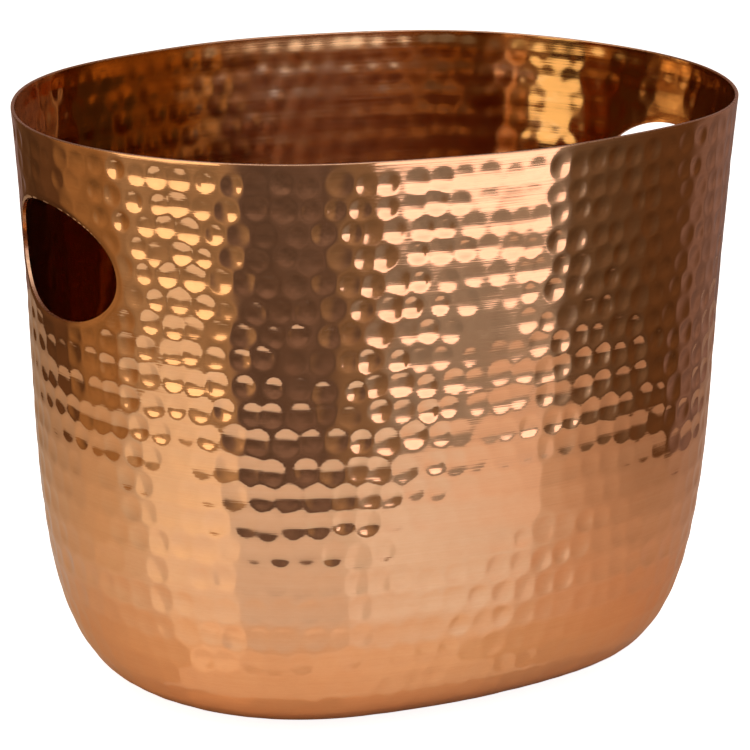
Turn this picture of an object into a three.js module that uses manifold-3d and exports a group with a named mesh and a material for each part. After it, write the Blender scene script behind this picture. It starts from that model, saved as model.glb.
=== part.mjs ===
// Oval ice bucket with two hand holes: one drawn, single-wall metal shell with
// a flared oval wall, a large rounded heel and a flat base, standing on four
// small round base pads. Millimetres, +Z up, long axis along X. The origin is
// on the surface the bucket stands on, under the middle of the base.
import * as THREE from "three";
import { mergeVertices } from "three/addons/utils/BufferGeometryUtils.js";
import Module from "manifold-3d";

// ---- driving dimensions (mm) ----
const RIM_HALF_LENGTH = 160.0; // outer rim, along X
const RIM_HALF_WIDTH = 126.43; // outer rim, along Y
const SHELL_HEIGHT = 247.95; // underside of the base to the mean rim
const WALL = 1.5; // sheet thickness
const RIM_DIP = -0.93; // the rim line is lower at the ends than over the long sides
const RIM_DIP4 = -0.16; // its second harmonic

const DRAFT_X = 0.0554; // how much the half-length shrinks per mm down the wall
const DRAFT_Y = 0.0388; // and the half-width
const WAIST = 2.56; // slight hollow of the wall at half height
const HEEL_HEIGHT = 143.98; // where the wall starts to turn into the base
const HEEL_X = 48.34; // how far the heel runs in, along X
const HEEL_Y = 53.92; // and along Y
const HEEL_POWER = 2.9876; // fullness of the heel curve

// The plan is an ellipse filled out towards a rounded oblong by three
// harmonics of the polar angle, each given at the base and at the rim.
const OVAL_H4 = [-0.0281, -0.0145];
const OVAL_H6 = [-0.0064, -0.0035];
const OVAL_H8 = [0.0028, 0.0049];

const HOLE_CENTRE = 193.57; // height of the hand holes' centres above the base
const HOLE_HALF_HEIGHT = 24.3;
const HOLE_HALF_WIDTH = 42.0; // across the end, seen along X
const HOLE_POWER = 2.1;

const PAD_RADIUS = 6.0; // round self-adhesive base pads
const PAD_HEIGHT = 2.0;
const PAD_BEVEL = 0.7;
const PAD_FILM = 0.1; // adhesive layer between pad and base
const PAD_X = 66.0;
const PAD_Y = 34.0;

const AROUND = 72; // steps round the oval
const HEEL_STEPS = 12;
const WALL_STEPS = 7;

// ---- the oval section ----
// Polar radius of the outer surface at height z over the base and angle a.
function outerPoint(z, a, target) {
  const t = Math.min(Math.max(z / SHELL_HEIGHT, 0), 1);
  const down = SHELL_HEIGHT - z;
  const waist = WAIST * 4 * t * (1 - t);
  const u = Math.min(Math.max((HEEL_HEIGHT - z) / HEEL_HEIGHT, 0), 1);
  const heel = 1 - Math.pow(1 - Math.pow(u, HEEL_POWER), 1 / HEEL_POWER);
  const hx = RIM_HALF_LENGTH - DRAFT_X * down - waist - HEEL_X * heel;
  const hy = RIM_HALF_WIDTH - DRAFT_Y * down - waist - HEEL_Y * heel;
  const c = Math.cos(a);
  const s = Math.sin(a);
  const at = (h) => h[0] + (h[1] - h[0]) * t;
  const r =
    ((hx * hy) / Math.hypot(hy * c, hx * s)) *
    (1 +
      at(OVAL_H4) * (Math.cos(4 * a) - 1) +
      at(OVAL_H6) * (Math.cos(6 * a) - Math.cos(2 * a)) +
      at(OVAL_H8) * (Math.cos(8 * a) - 1));
  return target.set(r * c, r * s, z);
}

const rimHeight = (a) =>
  SHELL_HEIGHT + RIM_DIP * Math.cos(2 * a) + RIM_DIP4 * Math.cos(4 * a);

// Heights of the rings of the outer surface, from the base's edge to the rim.
const levels = [];
for (let k = 0; k <= HEEL_STEPS; k++) {
  const b = (k / HEEL_STEPS) * (Math.PI / 2);
  levels.push(HEEL_HEIGHT * (1 - Math.pow(Math.cos(b), 2 / HEEL_POWER)));
}
for (let k = 1; k <= WALL_STEPS; k++)
  levels.push(HEEL_HEIGHT + (k / WALL_STEPS) * (SHELL_HEIGHT - HEEL_HEIGHT));
const TOP = levels.length - 1;

// Outward unit normal of the outer surface at a ring.
const pA = new THREE.Vector3();
const pB = new THREE.Vector3();
const pC = new THREE.Vector3();
const pD = new THREE.Vector3();
function outerNormal(z, a) {
  const e = 1e-3;
  outerPoint(z, a - e, pA);
  outerPoint(z, a + e, pB);
  const z0 = Math.max(z - 0.05, 1e-6);
  const z1 = Math.min(Math.max(z, z0) + 0.05, SHELL_HEIGHT);
  outerPoint(z0, a, pC);
  outerPoint(z1, a, pD);
  return pB.sub(pA).cross(pD.sub(pC)).normalize().clone();
}

// ---- the shell: a lathe whose section follows the oval ----
// Profile: middle of the outside base, out along it, up the outer wall, over
// the rim, down the inner wall and back to the middle of the inside floor.
const BASE_RINGS = [0, 0.55];
const profile = [];
for (const f of BASE_RINGS) profile.push({ side: "out", base: f });
for (let k = 0; k <= TOP; k++) profile.push({ side: "out", level: k });
for (let k = TOP; k >= 0; k--) profile.push({ side: "in", level: k });
for (const f of [...BASE_RINGS].reverse()) profile.push({ side: "in", base: f });

function shellPoint(item, a) {
  const p = new THREE.Vector3();
  if (item.base !== undefined) {
    outerPoint(0, a, p);
    p.multiplyScalar(item.base);
    p.z = item.side === "out" ? 0 : WALL;
    return p;
  }
  const z = levels[item.level];
  outerPoint(z, a, p);
  if (item.side === "in") {
    if (item.level === 0) p.z = WALL;
    else p.addScaledVector(outerNormal(z, a), -WALL);
  }
  if (item.level === TOP) p.z = rimHeight(a);
  return p;
}

const lathe = new THREE.LatheGeometry(
  profile.map((item) => {
    const p = shellPoint(item, 0);
    return new THREE.Vector2(Math.max(p.x, 0), p.z);
  }),
  AROUND,
);
{
  const position = lathe.getAttribute("position");
  for (let i = 0; i <= AROUND; i++) {
    const a = ((i % AROUND) / AROUND) * Math.PI * 2;
    profile.forEach((item, j) => {
      const p = shellPoint(item, a);
      position.setXYZ(i * profile.length + j, p.x, p.y, p.z);
    });
  }
}

// ---- the hand holes: one punched outline, cut through each end along X ----
const outline = new THREE.Shape();
const HOLE_STEPS = 40;
for (let k = 0; k < HOLE_STEPS; k++) {
  const t = (k / HOLE_STEPS) * Math.PI * 2;
  const c = Math.cos(t);
  const s = Math.sin(t);
  const y =
    HOLE_HALF_WIDTH * Math.sign(c) * Math.pow(Math.abs(c), 2 / HOLE_POWER);
  const z =
    HOLE_HALF_HEIGHT * Math.sign(s) * Math.pow(Math.abs(s), 2 / HOLE_POWER);
  if (k === 0) outline.moveTo(y, z);
  else outline.lineTo(y, z);
}
outline.closePath();
const PUNCH_LENGTH = 80;
function punch(end) {
  const g = new THREE.ExtrudeGeometry(outline, {
    depth: PUNCH_LENGTH,
    bevelEnabled: false,
    curveSegments: 1,
  });
  // the shape's own axes X, Y, Z become the bucket's Y, Z, X
  g.applyMatrix4(new THREE.Matrix4().set(0, 0, 1, 0, 1, 0, 0, 0, 0, 1, 0, 0, 0, 0, 0, 1));
  g.translate(
    end > 0 ? RIM_HALF_LENGTH - PUNCH_LENGTH + 10 : -RIM_HALF_LENGTH - 10,
    0,
    HOLE_CENTRE,
  );
  return g;
}

const wasm = await Module();
wasm.setup();

function toSolid(geometry) {
  const g = geometry.index ? geometry.toNonIndexed() : geometry.clone();
  g.deleteAttribute("normal");
  g.deleteAttribute("uv");
  const m = mergeVertices(g, 1e-3);
  return new wasm.Manifold(
    new wasm.Mesh({
      numProp: 3,
      vertProperties: m.getAttribute("position").array,
      triVerts: new Uint32Array(m.index.array),
    }),
  );
}

function toGeometry(solid) {
  const m = solid.getMesh();
  const v = new Float32Array(m.numVert * 3);
  for (let i = 0; i < m.numVert; i++)
    for (let k = 0; k < 3; k++)
      v[i * 3 + k] = m.vertProperties[i * m.numProp + k];
  const g = new THREE.BufferGeometry();
  g.setAttribute("position", new THREE.BufferAttribute(v, 3));
  g.setIndex(new THREE.BufferAttribute(new Uint32Array(m.triVerts), 1));
  g.computeVertexNormals();
  return g;
}

const shellSolid = toSolid(lathe)
  .subtract(toSolid(punch(+1)))
  .subtract(toSolid(punch(-1)));

// ---- materials ----
const copper = new THREE.MeshStandardMaterial({
  color: new THREE.Color(0.86, 0.5, 0.3),
  roughness: 0.12,
  metalness: 1.0,
});
const padRubber = new THREE.MeshStandardMaterial({
  color: new THREE.Color(0.08, 0.08, 0.08),
  roughness: 0.6,
  metalness: 0.0,
});

// ---- assembly ----
const bucket = new THREE.Group();
const shell = new THREE.Mesh(toGeometry(shellSolid), copper);
shell.name = "bucket_shell";
shell.position.z = PAD_HEIGHT;
bucket.add(shell);

const padProfile = [
  new THREE.Vector2(0, 0),
  new THREE.Vector2(PAD_RADIUS - PAD_BEVEL, 0),
  new THREE.Vector2(PAD_RADIUS, PAD_BEVEL),
  new THREE.Vector2(PAD_RADIUS, PAD_HEIGHT - PAD_FILM),
  new THREE.Vector2(0, PAD_HEIGHT - PAD_FILM),
];
const pads = new THREE.Group();
for (const [name, x, y] of [
  ["base_pad_front_left", -PAD_X, -PAD_Y],
  ["base_pad_front_right", PAD_X, -PAD_Y],
  ["base_pad_back_left", -PAD_X, PAD_Y],
  ["base_pad_back_right", PAD_X, PAD_Y],
]) {
  const g = new THREE.LatheGeometry(padProfile, 32);
  g.rotateX(Math.PI / 2); // the lathe's Y axis becomes Z
  const pad = new THREE.Mesh(g, padRubber);
  pad.name = name;
  pad.position.set(x, y, 0);
  pads.add(pad);
}
bucket.add(pads);

export default bucket;
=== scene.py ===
import bpy
import math
import numpy as np
from mathutils import Matrix, Vector


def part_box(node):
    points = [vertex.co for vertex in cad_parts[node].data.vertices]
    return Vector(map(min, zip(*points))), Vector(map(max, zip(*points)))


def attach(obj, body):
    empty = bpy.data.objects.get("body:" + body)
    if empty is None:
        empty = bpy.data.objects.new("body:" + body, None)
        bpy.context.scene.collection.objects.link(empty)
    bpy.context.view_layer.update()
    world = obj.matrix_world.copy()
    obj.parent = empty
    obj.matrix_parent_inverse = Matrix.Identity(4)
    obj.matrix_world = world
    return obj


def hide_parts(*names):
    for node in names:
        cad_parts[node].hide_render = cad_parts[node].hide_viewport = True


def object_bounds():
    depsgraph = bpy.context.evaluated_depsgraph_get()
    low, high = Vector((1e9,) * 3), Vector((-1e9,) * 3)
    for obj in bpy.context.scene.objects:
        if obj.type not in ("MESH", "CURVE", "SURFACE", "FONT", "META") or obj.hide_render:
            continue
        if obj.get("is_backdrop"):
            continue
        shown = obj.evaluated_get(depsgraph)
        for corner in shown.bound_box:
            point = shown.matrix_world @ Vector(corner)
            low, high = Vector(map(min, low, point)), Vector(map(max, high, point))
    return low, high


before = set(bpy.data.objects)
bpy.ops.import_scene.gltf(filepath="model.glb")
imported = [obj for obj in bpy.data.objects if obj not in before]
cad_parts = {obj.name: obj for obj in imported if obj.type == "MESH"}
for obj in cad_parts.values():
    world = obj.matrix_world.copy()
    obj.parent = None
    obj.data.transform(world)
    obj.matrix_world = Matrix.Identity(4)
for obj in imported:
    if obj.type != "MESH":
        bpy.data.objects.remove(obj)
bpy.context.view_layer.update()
RNG = np.random.default_rng(41)

# ------------------------------------------------------------------ the shell's shape (metres)
shell_lo, shell_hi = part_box("bucket_shell")
Z0 = shell_lo[2]  # underside of the base, on top of the pads
A, B, H = 0.160, 0.12643, 0.24795
WALL = 0.0015
DRAFT_X, DRAFT_Y, WAIST = 0.0554, 0.0388, 0.00256
HEEL_H, HEEL_X, HEEL_Y, HEEL_P = 0.14398, 0.04834, 0.05392, 2.9876
H4, H6, H8 = (-0.0281, -0.0145), (-0.0064, -0.0035), (0.0028, 0.0049)
RIM2, RIM4 = -0.00093, -0.00016
HOLE_Z, HOLE_HH, HOLE_HW, HOLE_P = 0.19357, 0.0243, 0.0420, 2.1


def wall_point(z, a):
    """Outer surface at height z over the base and polar angle a."""
    t = np.clip(z / H, 0, 1)
    d = H - z
    w = WAIST * 4 * t * (1 - t)
    u = np.clip((HEEL_H - z) / HEEL_H, 0, 1)
    add = 1 - (1 - u**HEEL_P) ** (1 / HEEL_P)
    hx = A - DRAFT_X * d - w - HEEL_X * add
    hy = B - DRAFT_Y * d - w - HEEL_Y * add
    c, s = np.cos(a), np.sin(a)
    k = [h[0] + (h[1] - h[0]) * t for h in (H4, H6, H8)]
    r = hx * hy / np.hypot(hy * c, hx * s)
    r = r * (
        1
        + k[0] * (np.cos(4 * a) - 1)
        + k[1] * (np.cos(6 * a) - np.cos(2 * a))
        + k[2] * (np.cos(8 * a) - 1)
    )
    return np.stack([r * c, r * s, z + 0 * a], -1)


def grid_normals(P):
    """Outward normals of a grid of points P[row, column] closed in the columns."""
    du = np.roll(P, -1, 1) - np.roll(P, 1, 1)
    dv = np.gradient(P, axis=0)
    n = np.cross(du, dv)
    return n / np.maximum(np.linalg.norm(n, axis=-1, keepdims=True), 1e-12)


NA = 896  # columns round the oval
# columns at equal arc length at mid height
fine = np.linspace(0, 2 * math.pi, 14401)
q = wall_point(np.full_like(fine, 0.6 * H), fine)
arc = np.concatenate([[0], np.cumsum(np.linalg.norm(np.diff(q, axis=0), axis=1))])
TH = np.interp(np.linspace(0, arc[-1], NA + 1)[:-1], arc, fine)

# levels at equal arc length up a mean section
phi = np.linspace(0, math.pi / 2, 20001)
zz = np.concatenate(
    [HEEL_H * (1 - np.cos(phi) ** (2 / HEEL_P)), np.linspace(HEEL_H, H, 4001)[1:]]
)
sec = wall_point(zz, np.full_like(zz, 1.05))
run = np.concatenate([[0], np.cumsum(np.linalg.norm(np.diff(sec, axis=0), axis=1))])
STEP = 0.00106
NV = int(round((run[-1] - 0.0006) / STEP))
run_v = np.linspace(0, run[-1] - 0.0006, NV + 1)
LEVELS = np.interp(run_v, run, zz)
from_rim = run[-1] - run_v  # distance under the rim, along the wall

Zg, Tg = np.meshgrid(LEVELS, TH, indexing="ij")
BASE = wall_point(Zg, Tg)
NRM = grid_normals(BASE)
rim_z = H + RIM2 * np.cos(2 * TH) + RIM4 * np.cos(4 * TH)
# the top of the wall follows the rim line, eased in over the last 25 mm
ease = np.clip((Zg - (H - 0.025)) / 0.025, 0, 1)
BASE[..., 2] += (rim_z[None, :] - H) * ease * ease * (3 - 2 * ease)

# ------------------------------------------------------------------ hammering
# Round shallow dents in level rows, each row wandering a little, with the
# plain band under the rim left untouched.
SOFT = 0.13  # how far the worked edge of a dent is rounded over
hit = np.zeros(Zg.shape)
deep = np.zeros(Zg.shape)
col_arc = np.linalg.norm(np.roll(BASE, -1, 1) - BASE, axis=-1)
row_len = col_arc.sum(1)
# patches where the blows were lighter: centre, strength, reach along and up
CALM = (
    ((-0.0120, -0.1240, 0.2315), 0.92, 0.034, 0.0165),
    ((0.0650, -0.1100, 0.2050), 0.45, 0.040, 0.050),
    ((-0.1580, -0.0050, 0.2000), 0.75, 0.030, 0.055),
    ((0.1580, 0.0000, 0.2000), 0.60, 0.028, 0.045),
    ((0.0700, 0.1050, 0.1500), 0.40, 0.045, 0.040),
    ((-0.0180, -0.1209, 0.1800), 0.88, 0.018, 0.032),
    ((-0.1420, -0.0500, 0.1930), 0.50, 0.012, 0.014),
    ((0.0700, -0.1070, 0.0900), 0.88, 0.045, 0.027),
    ((0.0100, -0.1180, 0.1030), 0.80, 0.040, 0.018),
    ((-0.0100, -0.1190, 0.1120), 0.48, 0.062, 0.025),
    ((-0.0350, -0.1140, 0.0900), 0.80, 0.028, 0.018),
    ((-0.1500, -0.0150, 0.0900), 0.80, 0.034, 0.032),
    ((-0.0150, -0.1200, 0.1660), 0.28, 0.060, 0.034),
    ((0.1320, 0.0720, 0.2200), 0.50, 0.030, 0.035),
    ((-0.1300, -0.0660, 0.1080), 0.50, 0.024, 0.026),
    ((-0.1550, 0.0800, 0.1000), 0.45, 0.040, 0.040),
)


def calm_at(c):
    k = 1.0
    for centre, much, along_it, up_it in CALM:
        h2 = ((c[0] - centre[0]) ** 2 + (c[1] - centre[1]) ** 2) / along_it**2
        k *= 1 - much * math.exp(-h2 - (c[2] - centre[2]) ** 2 / up_it**2)
    return k


s_row, rows = 0.0082, []
while s_row < run[-1] - 0.012:
    rows.append(s_row)
    s_row += 0.0102 + 0.0024 * min(max((s_row - 0.03) / 0.14, 0), 1)
for n_row, s_c in enumerate(rows):
    j = int(np.argmin(np.abs(from_rim - s_c)))
    length = row_len[j]
    count = int(round(length / 0.0105))
    cum = np.concatenate([[0], np.cumsum(col_arc[j])])
    pos = (
        (np.arange(count) + RNG.uniform(0, 1)) / count * length
        + RNG.normal(0, 0.0010, count)
    ) % length
    wander = 0.0006 * np.sin(pos / length * 2 * math.pi * RNG.integers(2, 5) + RNG.uniform(0, 6.28))
    for x in range(count):
        i0 = int(np.searchsorted(cum, pos[x])) % NA
        s_d = s_c + wander[x] + RNG.normal(0, 0.00055)
        jd = int(np.argmin(np.abs(from_rim - s_d)))
        centre = BASE[jd, i0]
        low = np.clip((centre[2] - 0.004) / 0.058, 0, 1)  # shallower down the heel
        grow = 1 + 0.20 * np.clip((s_c - 0.05) / 0.10, 0, 1)
        radius = np.clip(RNG.normal(0.00475, 0.00040), 0.0038, 0.0056) * grow * (1 + 0.06 * (1 - low))
        depth = np.clip(RNG.normal(0.00041, 0.00009), 0.00016, 0.00060)
        depth *= (0.24 + 0.76 * low) * grow**2.4 * calm_at(centre)
        rr = radius * 1.5
        cj = int(math.ceil(rr / STEP)) + 1
        ci = int(math.ceil(rr / max(col_arc[jd].min(), 0.0004))) + 1
        j0, j1 = max(jd - cj, 0), min(jd + cj + 1, NV + 1)
        ii = (np.arange(i0 - ci, i0 + ci + 1)) % NA
        d = np.linalg.norm(BASE[j0:j1][:, ii] - centre, axis=-1) / radius
        e = np.exp(np.clip((1 - d * d) / SOFT, -30, 9))
        at = np.ix_(np.arange(j0, j1), ii)
        hit[at] += e
        deep[at] += e * depth
dent = deep / np.maximum(hit, 1e-12) * SOFT * np.log1p(hit)
dent *= np.clip((from_rim[:, None] - 0.0022) / 0.0012, 0, 1)
# the blows die out at the hand holes, whose edge is drawn in a little
hy, hz = np.abs(BASE[..., 1]), np.abs(BASE[..., 2] - HOLE_Z)
form = (hy / HOLE_HW) ** HOLE_P + (hz / HOLE_HH) ** HOLE_P
off = np.hypot(hy, hz) * (1 - np.maximum(form, 1e-6) ** (-1 / HOLE_P))
off = np.where(np.abs(BASE[..., 0]) > 0.11, off, 1.0)
dent *= 0.1 + 0.9 * np.clip((off - 0.001) / 0.007, 0, 1)
dent += 0.00050 * (1 - np.clip((off + 0.0004) / 0.0034, 0, 1)) ** 2
# slow unevenness of hand-worked sheet
slow = np.zeros_like(dent)
for _ in range(16):
    ku = RNG.integers(6, 34)
    kv = RNG.uniform(1.2, 5.5)
    slow += np.sin(
        np.arange(NA)[None, :] / NA * 2 * math.pi * ku
        + run_v[:, None] / run[-1] * 2 * math.pi * kv
        + RNG.uniform(0, 6.28)
    ) * RNG.uniform(0.4, 1)
slow = (slow - slow.min()) / (slow.max() - slow.min())
dent += 0.00022 * slow * np.clip(from_rim[:, None] / 0.03, 0, 1) * np.clip(LEVELS[:, None] / 0.01, 0, 1)

OUT = BASE - NRM * dent[..., None]
# the blows come through softer on the inside, run together into level ridges
soft = dent.copy()
for k in range(6):
    soft = 0.25 * np.roll(soft, 1, 1) + 0.5 * soft + 0.25 * np.roll(soft, -1, 1)
    if k < 2:
        soft = 0.25 * np.vstack([soft[:1], soft[:-1]]) + 0.5 * soft + 0.25 * np.vstack([soft[1:], soft[-1:]])
INN = BASE - NRM * (0.92 * soft + WALL)[..., None]
# the inside floor lies level at the foot of the heel
INN[0, :, 2] = WALL
INN[:, :, 2] = np.maximum(INN[:, :, 2], WALL)

# ------------------------------------------------------------------ mesh of the shell
# The profile runs from the middle of the underside out to the heel's foot, up
# the wall, over the rim, down the inside and in along the inside floor.
points, n_points = [], 0
quads, tris = [], []  # (corner array, material index)
COPPER, EDGE, INSIDE = 0, 1, 2


def add_ring(p):
    global n_points
    start = n_points
    points.append(np.asarray(p, dtype=float))
    n_points += len(p)
    return np.arange(start, start + len(p))


def bridge(first, second, kind=COPPER):
    quads.append((np.stack([first, np.roll(first, -1), np.roll(second, -1), second], 1), kind))


def bridge_half(wide, narrow, flip, kind):
    """From a ring of n points to one of n/2 points on its even columns."""
    a, b, c = wide[0::2], wide[1::2], np.roll(wide, -2)[0::2]
    p, r = narrow, np.roll(narrow, -1)
    t = np.concatenate([np.stack(k, 1) for k in ((a, b, p), (b, r, p), (b, c, r))])
    tris.append((t[:, ::-1] if flip else t, kind))


def disc(ring, pts, z, flip, kind):
    """Fills a ring in to its middle, halving the columns as the rings get smaller."""
    scale = 1.0
    for f in (0.985, 0.955, 0.91, 0.85, 0.77, 0.67, 0.55, 0.42, 0.28, 0.14):
        halve = len(ring) % 2 == 0 and len(ring) > 110
        new = (pts[::2] if halve else pts) * [f / scale, f / scale, 0] + [0, 0, z]
        nxt = add_ring(new)
        if halve:
            bridge_half(ring, nxt, flip, kind)
        elif flip:
            bridge(nxt, ring, kind)
        else:
            bridge(ring, nxt, kind)
        ring, pts, scale = nxt, new, f
    mid = add_ring([[0.0, 0.0, z]])
    t = np.stack([ring, np.roll(ring, -1), np.repeat(mid, len(ring))], 1)
    tris.append((t[:, ::-1] if flip else t, kind))


foot = add_ring(OUT[0])
disc(foot, OUT[0], 0.0, True, COPPER)
prev = foot
for j in range(1, NV + 1):
    ring = add_ring(OUT[j])
    bridge(prev, ring)
    prev = ring
# over the rim: a cut edge with its two corners just broken
top_n = NRM[-1] * [1, 1, 0]
top_n /= np.linalg.norm(top_n, axis=1, keepdims=True)
for inset, drop in (
    (0.0, 0.00034),
    (0.00009, 0.00012),
    (0.00032, 0.0),
    (0.00075, 0.0),
    (0.00118, 0.0),
    (0.00141, 0.00012),
    (0.0015, 0.00034),
):
    p = BASE[-1] - top_n * inset
    p[:, 2] = rim_z - drop
    ring = add_ring(p)
    bridge(prev, ring, EDGE if inset > 0 else COPPER)
    prev = ring
for j in [NV] + list(range(NV - 2 + (NV % 2), -1, -2)):
    ring = add_ring(INN[j])
    bridge(prev, ring, EDGE if j == NV else INSIDE)
    prev = ring
disc(prev, INN[0], WALL, False, INSIDE)

P = np.concatenate(points)
P[:, 2] += Z0
Q = np.concatenate([q for q, _ in quads])
T = np.concatenate([t for t, _ in tris])
kinds = np.concatenate(
    [np.full(len(q), k) for q, k in quads] + [np.full(len(t), k) for t, k in tris]
).astype(np.int32)


def make_mesh(name, P, Q, T):
    me = bpy.data.meshes.new(name)
    me.vertices.add(len(P))
    me.vertices.foreach_set("co", P.astype(np.float32).ravel())
    corners = np.concatenate([Q.ravel(), T.ravel()]).astype(np.int32)
    me.loops.add(len(corners))
    me.loops.foreach_set("vertex_index", corners)
    starts = np.concatenate([np.arange(len(Q)) * 4, 4 * len(Q) + np.arange(len(T)) * 3])
    me.polygons.add(len(starts))
    me.polygons.foreach_set("loop_start", starts.astype(np.int32))
    me.update(calc_edges=True)
    me.validate()
    return me


me = make_mesh("shell_hammered", P, Q, T)
me.polygons.foreach_set("material_index", kinds)
shell = bpy.data.objects.new("shell_hammered", me)
bpy.context.collection.objects.link(shell)

# ------------------------------------------------------------------ punched hand holes
t = np.arange(160) / 160 * 2 * math.pi
oy = HOLE_HW * np.sign(np.cos(t)) * np.abs(np.cos(t)) ** (2 / HOLE_P)
oz = HOLE_HH * np.sign(np.sin(t)) * np.abs(np.sin(t)) ** (2 / HOLE_P) + HOLE_Z + Z0
punches = []
for name, x0, x1 in (("punch_left", -0.175, -0.110), ("punch_right", 0.110, 0.175)):
    pp = np.concatenate(
        [np.stack([np.full(160, x), oy, oz], 1) for x in (x0, x1)]
        + [[[x0, 0, HOLE_Z + Z0], [x1, 0, HOLE_Z + Z0]]]
    )
    r0, r1 = np.arange(160), np.arange(160) + 160
    qq = np.stack([r0, np.roll(r0, -1), np.roll(r1, -1), r1], 1)
    tt = np.concatenate(
        [
            np.stack([np.roll(r0, -1), r0, np.full(160, 320)], 1),
            np.stack([r1, np.roll(r1, -1), np.full(160, 321)], 1),
        ]
    )
    punch = bpy.data.objects.new(name, make_mesh(name, pp, qq, tt))
    bpy.context.collection.objects.link(punch)
    punches.append(punch)
    cut = shell.modifiers.new("hand_hole", "BOOLEAN")
    cut.operation = "DIFFERENCE"
    cut.object = punch
    cut.solver = "MANIFOLD"
dg = bpy.context.evaluated_depsgraph_get()
cut_mesh = bpy.data.meshes.new_from_object(shell.evaluated_get(dg))
shell.modifiers.clear()
shell.data = cut_mesh
cut_mesh.name = "shell_hammered"
for punch in punches:
    bpy.data.objects.remove(punch, do_unlink=True)

me = shell.data
n = len(me.polygons)
centre, normal = np.empty(n * 3, np.float32), np.empty(n * 3, np.float32)
me.polygons.foreach_get("center", centre)
me.polygons.foreach_get("normal", normal)
centre, normal = centre.reshape(-1, 3), normal.reshape(-1, 3)
index = np.empty(n, np.int32)
me.polygons.foreach_get("material_index", index)
form = (np.abs(centre[:, 1]) / HOLE_HW) ** HOLE_P + (
    np.abs(centre[:, 2] - HOLE_Z - Z0) / HOLE_HH
) ** HOLE_P
cut_face = (np.abs(form - 1) < 0.012) & (np.abs(centre[:, 0]) > 0.12) & (np.abs(normal[:, 0]) < 0.2)
index[cut_face] = EDGE
me.polygons.foreach_set("material_index", index)
me.polygons.foreach_set("use_smooth", np.ones(n, dtype=bool))
me.set_sharp_from_angle(angle=math.radians(50))
me.update()
print("shell faces", n, "cut faces", int(cut_face.sum()))

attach(shell, "root")
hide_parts("bucket_shell")


# ------------------------------------------------------------------ materials
def material(name):
    m = bpy.data.materials.new(name)
    m.use_nodes = True
    nt = m.node_tree
    return m, nt, nt.nodes["Principled BSDF"]


def stretched_noise(nt, coords, scale, detail=2.0, rough=0.5):
    """Noise drawn out into level streaks: long round the bucket, fine up it."""
    mp = nt.nodes.new("ShaderNodeMapping")
    mp.inputs["Scale"].default_value = scale
    nt.links.new(coords, mp.inputs["Vector"])
    nz = nt.nodes.new("ShaderNodeTexNoise")
    nz.inputs["Scale"].default_value = 1.0
    nz.inputs["Detail"].default_value = detail
    nz.inputs["Roughness"].default_value = rough
    nt.links.new(mp.outputs["Vector"], nz.inputs["Vector"])
    return nz.outputs["Fac"]


def ramp(nt, value, lo, hi, a, b):
    r = nt.nodes.new("ShaderNodeMapRange")
    r.inputs["From Min"].default_value = lo
    r.inputs["From Max"].default_value = hi
    r.inputs["To Min"].default_value = a
    r.inputs["To Max"].default_value = b
    nt.links.new(value, r.inputs["Value"])
    return r.outputs["Result"]


def add(nt, a, b, kind="ADD"):
    m = nt.nodes.new("ShaderNodeMath")
    m.operation = kind
    for k, v in enumerate((a, b)):
        if isinstance(v, (int, float)):
            m.inputs[k].default_value = v
        else:
            nt.links.new(v, m.inputs[k])
    return m.outputs["Value"]


def mix_color(nt, fac, a, b):
    m = nt.nodes.new("ShaderNodeMix")
    m.data_type = "RGBA"
    m.inputs["A"].default_value = a
    m.inputs["B"].default_value = b
    nt.links.new(fac, m.inputs["Factor"])
    return m.outputs["Result"]


def polished(name, light, deep_tone, rough, lines):
    """Brushed and polished sheet: level brush lines, a slow change of tone."""
    m, nt, bsdf = material(name)
    co = nt.nodes.new("ShaderNodeTexCoord").outputs["Object"]
    bsdf.inputs["Metallic"].default_value = 1.0
    fine_lines = stretched_noise(nt, co, (24, 24, 1250), 2.0, 0.6)
    wide_lines = stretched_noise(nt, co, (10, 10, 380), 1.0, 0.5)
    cloud = stretched_noise(nt, co, (16, 16, 20), 3.0, 0.55)
    mottle = stretched_noise(nt, co, (75, 75, 95), 2.0, 0.6)
    grain = stretched_noise(nt, co, (420, 420, 1500), 1.0, 0.5)
    tone = add(nt, ramp(nt, cloud, 0.3, 0.7, 0.0, 0.35), ramp(nt, fine_lines, 0.35, 0.65, 0.0, 0.35))
    tone = add(nt, tone, ramp(nt, mottle, 0.35, 0.65, 0.0, 0.3))
    tone = add(nt, tone, ramp(nt, grain, 0.3, 0.7, -0.1, 0.2))
    nt.links.new(mix_color(nt, tone, light, deep_tone), bsdf.inputs["Base Color"])
    r1 = ramp(nt, fine_lines, 0.3, 0.7, rough[0], rough[1])
    r2 = add(nt, ramp(nt, cloud, 0.35, 0.65, 0.0, 0.02), ramp(nt, mottle, 0.35, 0.65, 0.0, 0.015))
    nt.links.new(add(nt, r1, r2), bsdf.inputs["Roughness"])
    bump = nt.nodes.new("ShaderNodeBump")
    bump.inputs["Strength"].default_value = 1.0
    bump.inputs["Distance"].default_value = lines
    nt.links.new(add(nt, fine_lines, add(nt, wide_lines, 0.75, "MULTIPLY")), bump.inputs["Height"])
    nt.links.new(bump.outputs["Normal"], bsdf.inputs["Normal"])
    return m


copper = polished("hammered_copper", (0.965, 0.588, 0.345, 1), (0.915, 0.520, 0.288, 1), (0.040, 0.085), 0.000014)
inside = polished("inside_copper", (0.960, 0.785, 0.610, 1), (0.920, 0.74, 0.565, 1), (0.12, 0.18), 0.000014)
# the inside is toned darker toward the two narrow ends, most at the back of the left end
nt = inside.node_tree
bsdf = nt.nodes["Principled BSDF"]
co = nt.nodes.new("ShaderNodeTexCoord").outputs["Object"]
parts = nt.nodes.new("ShaderNodeSeparateXYZ")
nt.links.new(co, parts.inputs[0])


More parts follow.
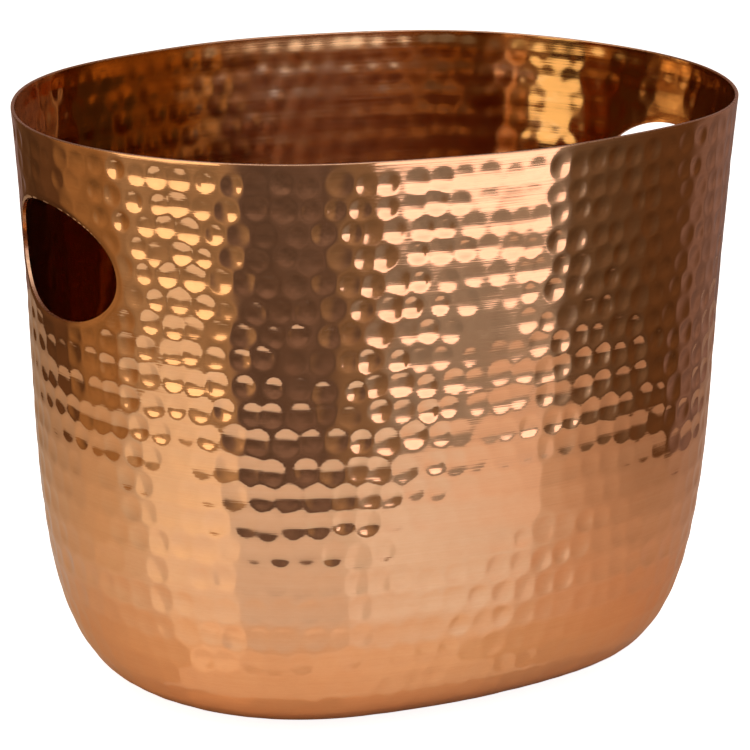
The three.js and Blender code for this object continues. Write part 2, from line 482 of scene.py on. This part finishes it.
def map_range(value, lo, hi, a, b):
    r = nt.nodes.new("ShaderNodeMapRange")
    r.interpolation_type = "SMOOTHSTEP"
    for k, v in zip(("From Min", "From Max", "To Min", "To Max"), (lo, hi, a, b)):
        r.inputs[k].default_value = v
    nt.links.new(value, r.inputs["Value"])
    return r.outputs["Result"]


ragged = stretched_noise(nt, co, (38, 38, 85), 3.0, 0.6)
color = bsdf.inputs["Base Color"].links[0].from_socket
# warmer in the last centimetre or two under the rim
warm = nt.nodes.new("ShaderNodeMix")
warm.data_type = "RGBA"
warm.inputs["B"].default_value = (0.86, 0.55, 0.27, 1)
nt.links.new(color, warm.inputs["A"])
height = add(nt, parts.outputs["Z"], ramp(nt, ragged, 0.3, 0.7, -0.008, 0.008))
nt.links.new(map_range(height, 0.226, 0.244, 0.0, 0.9), warm.inputs["Factor"])
color = warm.outputs["Result"]
for sign, lo, hi, tone in ((1.0, 0.075, 0.135, (0.66, 0.39, 0.15, 1)), (-1.0, -0.030, 0.040, (0.30, 0.12, 0.025, 1))):
    end_tone = nt.nodes.new("ShaderNodeMix")
    end_tone.data_type = "RGBA"
    end_tone.inputs["B"].default_value = tone
    nt.links.new(color, end_tone.inputs["A"])
    # the edge of the darker part is ragged
    where = add(nt, add(nt, parts.outputs["X"], sign, "MULTIPLY"), ramp(nt, ragged, 0.3, 0.7, -0.02, 0.02))
    fac = map_range(where, lo, hi, 0.0, 1.0)
    if sign < 0:
        fac = add(nt, fac, map_range(parts.outputs["Y"], -0.06, 0.02, 0.0, 1.0), "MULTIPLY")
    nt.links.new(fac, end_tone.inputs["Factor"])
    color = end_tone.outputs["Result"]
nt.links.new(color, bsdf.inputs["Base Color"])
rough = bsdf.inputs["Roughness"].links[0].from_socket
shine = map_range(add(nt, parts.outputs["X"], 0.0, "ABSOLUTE"), 0.05, 0.11, 1.0, 0.6)
nt.links.new(add(nt, rough, shine, "MULTIPLY"), bsdf.inputs["Roughness"])

edge, nt, bsdf = material("cut_edge")
co = nt.nodes.new("ShaderNodeTexCoord").outputs["Object"]
bsdf.inputs["Metallic"].default_value = 1.0
file_marks = stretched_noise(nt, co, (420, 420, 420), 3.0, 0.6)
nt.links.new(
    mix_color(nt, ramp(nt, file_marks, 0.35, 0.65, 0, 1), (0.64, 0.385, 0.24, 1), (0.52, 0.30, 0.18, 1)),
    bsdf.inputs["Base Color"],
)
nt.links.new(ramp(nt, file_marks, 0.3, 0.7, 0.2, 0.36), bsdf.inputs["Roughness"])
bump = nt.nodes.new("ShaderNodeBump")
bump.inputs["Strength"].default_value = 0.6
bump.inputs["Distance"].default_value = 0.00002
nt.links.new(file_marks, bump.inputs["Height"])
nt.links.new(bump.outputs["Normal"], bsdf.inputs["Normal"])

rubber, nt, bsdf = material("pad_rubber")
co = nt.nodes.new("ShaderNodeTexCoord").outputs["Object"]
grain = stretched_noise(nt, co, (2600, 2600, 2600), 2.0, 0.6)
cloud = stretched_noise(nt, co, (260, 260, 260), 2.0, 0.5)
nt.links.new(
    mix_color(nt, ramp(nt, cloud, 0.35, 0.65, 0, 1), (0.012, 0.012, 0.013, 1), (0.022, 0.021, 0.021, 1)),
    bsdf.inputs["Base Color"],
)
nt.links.new(ramp(nt, grain, 0.3, 0.7, 0.5, 0.72), bsdf.inputs["Roughness"])
bump = nt.nodes.new("ShaderNodeBump")
bump.inputs["Strength"].default_value = 0.7
bump.inputs["Distance"].default_value = 0.00006
nt.links.new(grain, bump.inputs["Height"])
nt.links.new(bump.outputs["Normal"], bsdf.inputs["Normal"])

shell.data.materials.clear()
shell.data.materials.append(copper)
shell.data.materials.append(edge)
shell.data.materials.append(inside)
shell.data.polygons.foreach_set("material_index", index)
for name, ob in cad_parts.items():
    if name.startswith("base_pad"):
        ob.data.materials.clear()
        ob.data.materials.append(rubber)

# ------------------------------------------------------------------ stage
def plane(name, corners, z):
    m = bpy.data.meshes.new(name)
    m.from_pydata([(x, y, z) for x, y in corners], [], [tuple(range(len(corners)))])
    m.update()
    o = bpy.data.objects.new(name, m)
    bpy.context.collection.objects.link(o)
    o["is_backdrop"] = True
    return o


VIEW_AZ, VIEW_EL = math.radians(-31.130), math.radians(16.031)
toward = Vector((math.sin(VIEW_AZ), -math.cos(VIEW_AZ), 0))  # from the bucket to the camera
across = Vector((math.cos(VIEW_AZ), math.sin(VIEW_AZ), 0))  # to the camera's right


def on_floor(r, f):
    p = across * r + toward * f
    return (p.x, p.y)


# pale floor, as the camera sees it
floor = plane("floor", [(-6, -6), (6, -6), (6, 6), (-6, 6)], -0.0001)
fm, nt, bsdf = material("floor_pale")
bsdf.inputs["Base Color"].default_value = (0.9, 0.9, 0.9, 1)
bsdf.inputs["Roughness"].default_value = 0.9
bsdf.inputs["Specular IOR Level"].default_value = 0.0
bsdf.inputs["Emission Color"].default_value = (1, 1, 1, 1)
bsdf.inputs["Emission Strength"].default_value = 0.9
floor.data.materials.append(fm)
floor.visible_glossy = floor.visible_diffuse = floor.visible_shadow = False

# the white table top that the polished metal mirrors, its corner toward the right softbox cut off
TABLE = (
    (-0.465, 0.43),
    (-0.20, 0.408),
    (0.06, 0.380),
    (0.150, 0.350),
    (0.205, 0.366),
    (0.262, 0.374),
    (0.300, 0.350),
    (0.385, 0.338),
    (0.455, 0.250),
    (0.460, 0.085),
    (0.455, 0.005),
    (0.390, -0.040),
    (0.380, -0.20),
    (0.45, -0.55),
    (-0.465, -0.55),
)
table = plane(
    "table_top",
    [
        on_floor(r, f)
        for r, f in TABLE
    ],
    -0.0004,
)
tm, nt, bsdf = material("table_white")
co = nt.nodes.new("ShaderNodeTexCoord").outputs["Object"]


def along(nt, vec, direction):
    d = nt.nodes.new("ShaderNodeVectorMath")
    d.operation = "DOT_PRODUCT"
    nt.links.new(vec, d.inputs[0])
    d.inputs[1].default_value = direction
    return d.outputs["Value"]


def smooth(nt, value, lo, hi, a, b):
    r = nt.nodes.new("ShaderNodeMapRange")
    r.interpolation_type = "SMOOTHSTEP"
    for k, v in zip(("From Min", "From Max", "To Min", "To Max"), (lo, hi, a, b)):
        r.inputs[k].default_value = v
    nt.links.new(value, r.inputs["Value"])
    return r.outputs["Result"]


t_across, t_toward = along(nt, co, across), along(nt, co, toward)
side_shade = add(nt, smooth(nt, t_across, 0.10, 0.40, 1.0, 0.62), smooth(nt, t_across, -0.45, -0.18, 0.80, 1.0), "MULTIPLY")
shade = add(nt, side_shade, smooth(nt, t_toward, -0.45, 0.0, 0.7, 1.0), "MULTIPLY")
# painted light: a pool of light from the right-hand softbox is painted on the near right of the table
painted_spill = add(nt, smooth(nt, t_across, 0.16, 0.32, 0.0, 0.30), smooth(nt, t_toward, 0.04, 0.14, 0.0, 1.0), "MULTIPLY")
shade = add(nt, shade, add(nt, painted_spill, 1.0), "MULTIPLY")
# painted coloured light: the table is tinted warm to the left and on the right and cool in the middle, standing in
# for the coloured light that falls on it
warm = smooth(nt, t_across, -0.30, -0.08, 0.0, 1.0)
left_tint = mix_color(nt, smooth(nt, t_toward, 0.06, 0.20, 0.0, 1.0), (0.78, 0.67, 0.51, 1), (0.78, 0.79, 0.74, 1))
middle = nt.nodes.new("ShaderNodeMix")
middle.data_type = "RGBA"
middle_tint = mix_color(nt, smooth(nt, t_across, 0.0, 0.12, 0.0, 1.0), (0.80, 0.83, 0.86, 1), (0.80, 0.89, 0.95, 1))
nt.links.new(middle_tint, middle.inputs["B"])
nt.links.new(warm, middle.inputs["Factor"])
nt.links.new(left_tint, middle.inputs["A"])
tint = middle.outputs["Result"]
far_right = nt.nodes.new("ShaderNodeMix")
far_right.data_type = "RGBA"
beside = smooth(nt, t_toward, 0.08, 0.20, 1.0, 0.0)
right_tint = mix_color(nt, beside, (0.80, 0.67, 0.56, 1), (0.80, 0.62, 0.49, 1))
nt.links.new(right_tint, far_right.inputs["B"])
close_in = add(nt, smooth(nt, t_across, 0.05, 0.20, 0.0, 1.0), beside, "MULTIPLY")
nt.links.new(
    add(nt, smooth(nt, t_across, 0.12, 0.34, 0.0, 1.0), close_in, "MAXIMUM"),
    far_right.inputs["Factor"],
)
nt.links.new(tint, far_right.inputs["A"])
tint = far_right.outputs["Result"]
# painted reflected light: the table is tinted copper close round the bucket, standing in for the copper's glow
# bounced onto it
ring_at = nt.nodes.new("ShaderNodeVectorMath")
ring_at.operation = "MULTIPLY"
nt.links.new(co, ring_at.inputs[0])
ring_at.inputs[1].default_value = (1 / 0.16, 1 / 0.126, 0)
span = nt.nodes.new("ShaderNodeVectorMath")
span.operation = "LENGTH"
nt.links.new(ring_at.outputs[0], span.inputs[0])
painted_copper_glow = nt.nodes.new("ShaderNodeMix")
painted_copper_glow.data_type = "RGBA"
painted_copper_glow.blend_type = "MULTIPLY"
painted_copper_glow.inputs["B"].default_value = (1.0, 0.80, 0.58, 1)
nt.links.new(smooth(nt, span.outputs["Value"], 0.95, 1.55, 1.0, 0.0), painted_copper_glow.inputs["Factor"])
nt.links.new(tint, painted_copper_glow.inputs["A"])
tint = painted_copper_glow.outputs["Result"]
scaled = nt.nodes.new("ShaderNodeVectorMath")
scaled.operation = "SCALE"
nt.links.new(tint, scaled.inputs[0])
nt.links.new(shade, scaled.inputs["Scale"])
nt.links.new(scaled.outputs[0], bsdf.inputs["Base Color"])
bsdf.inputs["Roughness"].default_value = 0.04
bsdf.inputs["Specular IOR Level"].default_value = 0.85
table.data.materials.append(tm)
table.visible_camera = False


def softbox(name, centre, target, width, height, radiance, tint=(1, 1, 1)):
    L = bpy.data.lights.new(name, "AREA")
    L.shape = "RECTANGLE"
    L.size, L.size_y = width, height
    L.energy = radiance * math.pi * width * height
    L.color = tint
    o = bpy.data.objects.new(name, L)
    o.location = centre
    d = Vector(target) - Vector(centre)
    o.rotation_euler = d.to_track_quat("-Z", "Y").to_euler()
    o.visible_camera = False
    bpy.context.collection.objects.link(o)
    return o


# the right-hand softbox stands a little askew, its lower edge running down to one side
az = math.radians(17.0)
face = Vector((math.sin(az), -math.cos(az), 0))
side = Vector((math.cos(az), math.sin(az), 0))
m = bpy.data.meshes.new("softbox_right")
m.from_pydata(
    [tuple(face * 0.985 + side * u + Vector((0, 0, z))) for u, z in ((-0.38, -0.097), (0.35, -0.125), (0.35, 1.0), (-0.38, 1.0))],
    [],
    [(0, 3, 2, 1)],
)
m.update()
panel = bpy.data.objects.new("softbox_right", m)
bpy.context.collection.objects.link(panel)
panel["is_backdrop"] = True
panel.visible_camera = False
pm, nt, bsdf = material("softbox_right")
co = nt.nodes.new("ShaderNodeTexCoord").outputs["Object"]
bsdf.inputs["Base Color"].default_value = (0.8, 0.8, 0.8, 1)
bsdf.inputs["Emission Color"].default_value = (1.0, 0.87, 0.92, 1)
nt.links.new(smooth(nt, along(nt, co, (0, 0, 1)), -0.10, 0.14, 1.34, 0.80), bsdf.inputs["Emission Strength"])
m.materials.append(pm)
softbox("softbox_left", (-0.88, -0.15, 0.49), (0, 0, 0.49), 0.62, 1.015, 1.08, (1, 0.80, 0.56))
softbox("overhead", (-0.15, -0.2, 1.5), (0, 0, 0.0), 2.4, 1.9, 1.24)

world = bpy.data.worlds.new("studio")
bpy.context.scene.world = world
world.use_nodes = True
nt = world.node_tree
bg = nt.nodes["Background"]
direction = nt.nodes.new("ShaderNodeTexCoord").outputs["Generated"]
d_front = along(nt, direction, toward)
d_up = along(nt, direction, (0, 0, 1))


def toward_angle(deg):
    """How much a direction points to one side of the room, seen in plan."""
    a = math.radians(deg)
    flat = nt.nodes.new("ShaderNodeVectorMath")
    flat.operation = "MULTIPLY"
    nt.links.new(direction, flat.inputs[0])
    flat.inputs[1].default_value = (1, 1, 0)
    unit = nt.nodes.new("ShaderNodeVectorMath")
    unit.operation = "NORMALIZE"
    nt.links.new(flat.outputs[0], unit.inputs[0])
    return along(nt, unit.outputs[0], (math.sin(a), -math.cos(a), 0))


def mix_over(fac, a, b):
    m = nt.nodes.new("ShaderNodeMix")
    m.data_type = "RGBA"
    for k, v in (("A", a), ("B", b)):
        if isinstance(v, tuple):
            m.inputs[k].default_value = v
        else:
            nt.links.new(v, m.inputs[k])
    nt.links.new(fac, m.inputs["Factor"])
    return m.outputs["Result"]


def patch(room, deg, wide, soft, color):
    """A softly edged part of the room between two azimuths."""
    return mix_over(
        smooth(nt, toward_angle(deg), math.cos(math.radians(wide + soft)), math.cos(math.radians(wide - soft)), 0, 1),
        room,
        color,
    )


room = mix_over(smooth(nt, d_front, 0.25, 0.85, 0, 1), (0.100, 0.050, 0.022, 1), (0.165, 0.116, 0.096, 1))
# studio floor lit below the two softboxes, and its spill to the right
room = patch(room, 128, 44, 7, (0.228, 0.146, 0.126, 1))
room = patch(room, 43, 14, 9, (0.13, 0.086, 0.055, 1))
room = patch(room, 14, 25, 5, (0.28, 0.195, 0.125, 1))
room = patch(room, 24, 19, 5, (0.43, 0.39, 0.36, 1))
room = patch(room, -122, 17, 6, (0.30, 0.165, 0.065, 1))
room = patch(room, -83, 25, 5, (0.40, 0.28, 0.165, 1))
wall_noise = nt.nodes.new("ShaderNodeTexNoise")
wall_noise.inputs["Scale"].default_value = 5.0
wall_noise.inputs["Detail"].default_value = 2.0
nt.links.new(direction, wall_noise.inputs["Vector"])
level = add(nt, smooth(nt, d_up, -0.55, 0.0, 0.62, 1.25), ramp(nt, wall_noise.outputs["Fac"], 0.3, 0.7, 0.75, 1.25), "MULTIPLY")
lit = nt.nodes.new("ShaderNodeVectorMath")
lit.operation = "SCALE"
nt.links.new(room, lit.inputs[0])
nt.links.new(level, lit.inputs["Scale"])
nt.links.new(lit.outputs[0], bg.inputs["Color"])
bg.inputs["Strength"].default_value = 1.0
white = nt.nodes.new("ShaderNodeBackground")
white.inputs["Color"].default_value = (1, 1, 1, 1)
white.inputs["Strength"].default_value = 1.0
lp = nt.nodes.new("ShaderNodeLightPath")
mix = nt.nodes.new("ShaderNodeMixShader")
nt.links.new(lp.outputs["Is Camera Ray"], mix.inputs[0])
nt.links.new(bg.outputs[0], mix.inputs[1])
nt.links.new(white.outputs[0], mix.inputs[2])
nt.links.new(mix.outputs[0], nt.nodes["World Output"].inputs["Surface"])

# ------------------------------------------------------------------ camera
cd = bpy.data.cameras.new("camera")
cam = bpy.data.objects.new("camera", cd)
bpy.context.collection.objects.link(cam)
cd.sensor_width = 36.0
cd.lens = 3827.564 / 750 * 36.0
cd.clip_start, cd.clip_end = 0.05, 60
back = Vector(
    (math.sin(VIEW_AZ) * math.cos(VIEW_EL), -math.cos(VIEW_AZ) * math.cos(VIEW_EL), math.sin(VIEW_EL))
)
eye = Vector((0, 0, 0.5 * 0.247952)) + back * (10.313623 * 0.16)
right = (-back).cross(Vector((0, 0, 1))).normalized()
aim = Vector((0, 0, 0.773334 * 0.16)) + right * (-0.0011323 * 0.16)
fwd = (aim - eye).normalized()
right = fwd.cross(Vector((0, 0, 1))).normalized()
up = right.cross(fwd)
roll = math.radians(0.723705)
r2 = right * math.cos(roll) + up * math.sin(roll)
u2 = up * math.cos(roll) - right * math.sin(roll)
cam.matrix_world = Matrix(
    (
        (r2.x, u2.x, -fwd.x, eye.x),
        (r2.y, u2.y, -fwd.y, eye.y),
        (r2.z, u2.z, -fwd.z, eye.z + Z0),
        (0, 0, 0, 1),
    )
)
scene = bpy.context.scene
scene.camera = cam
scene.view_settings.view_transform = "Standard"
scene.view_settings.look = "None"
scene.cycles.max_bounces = 14
scene.cycles.glossy_bounces = 12
scene.cycles.diffuse_bounces = 3

lo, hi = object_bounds()
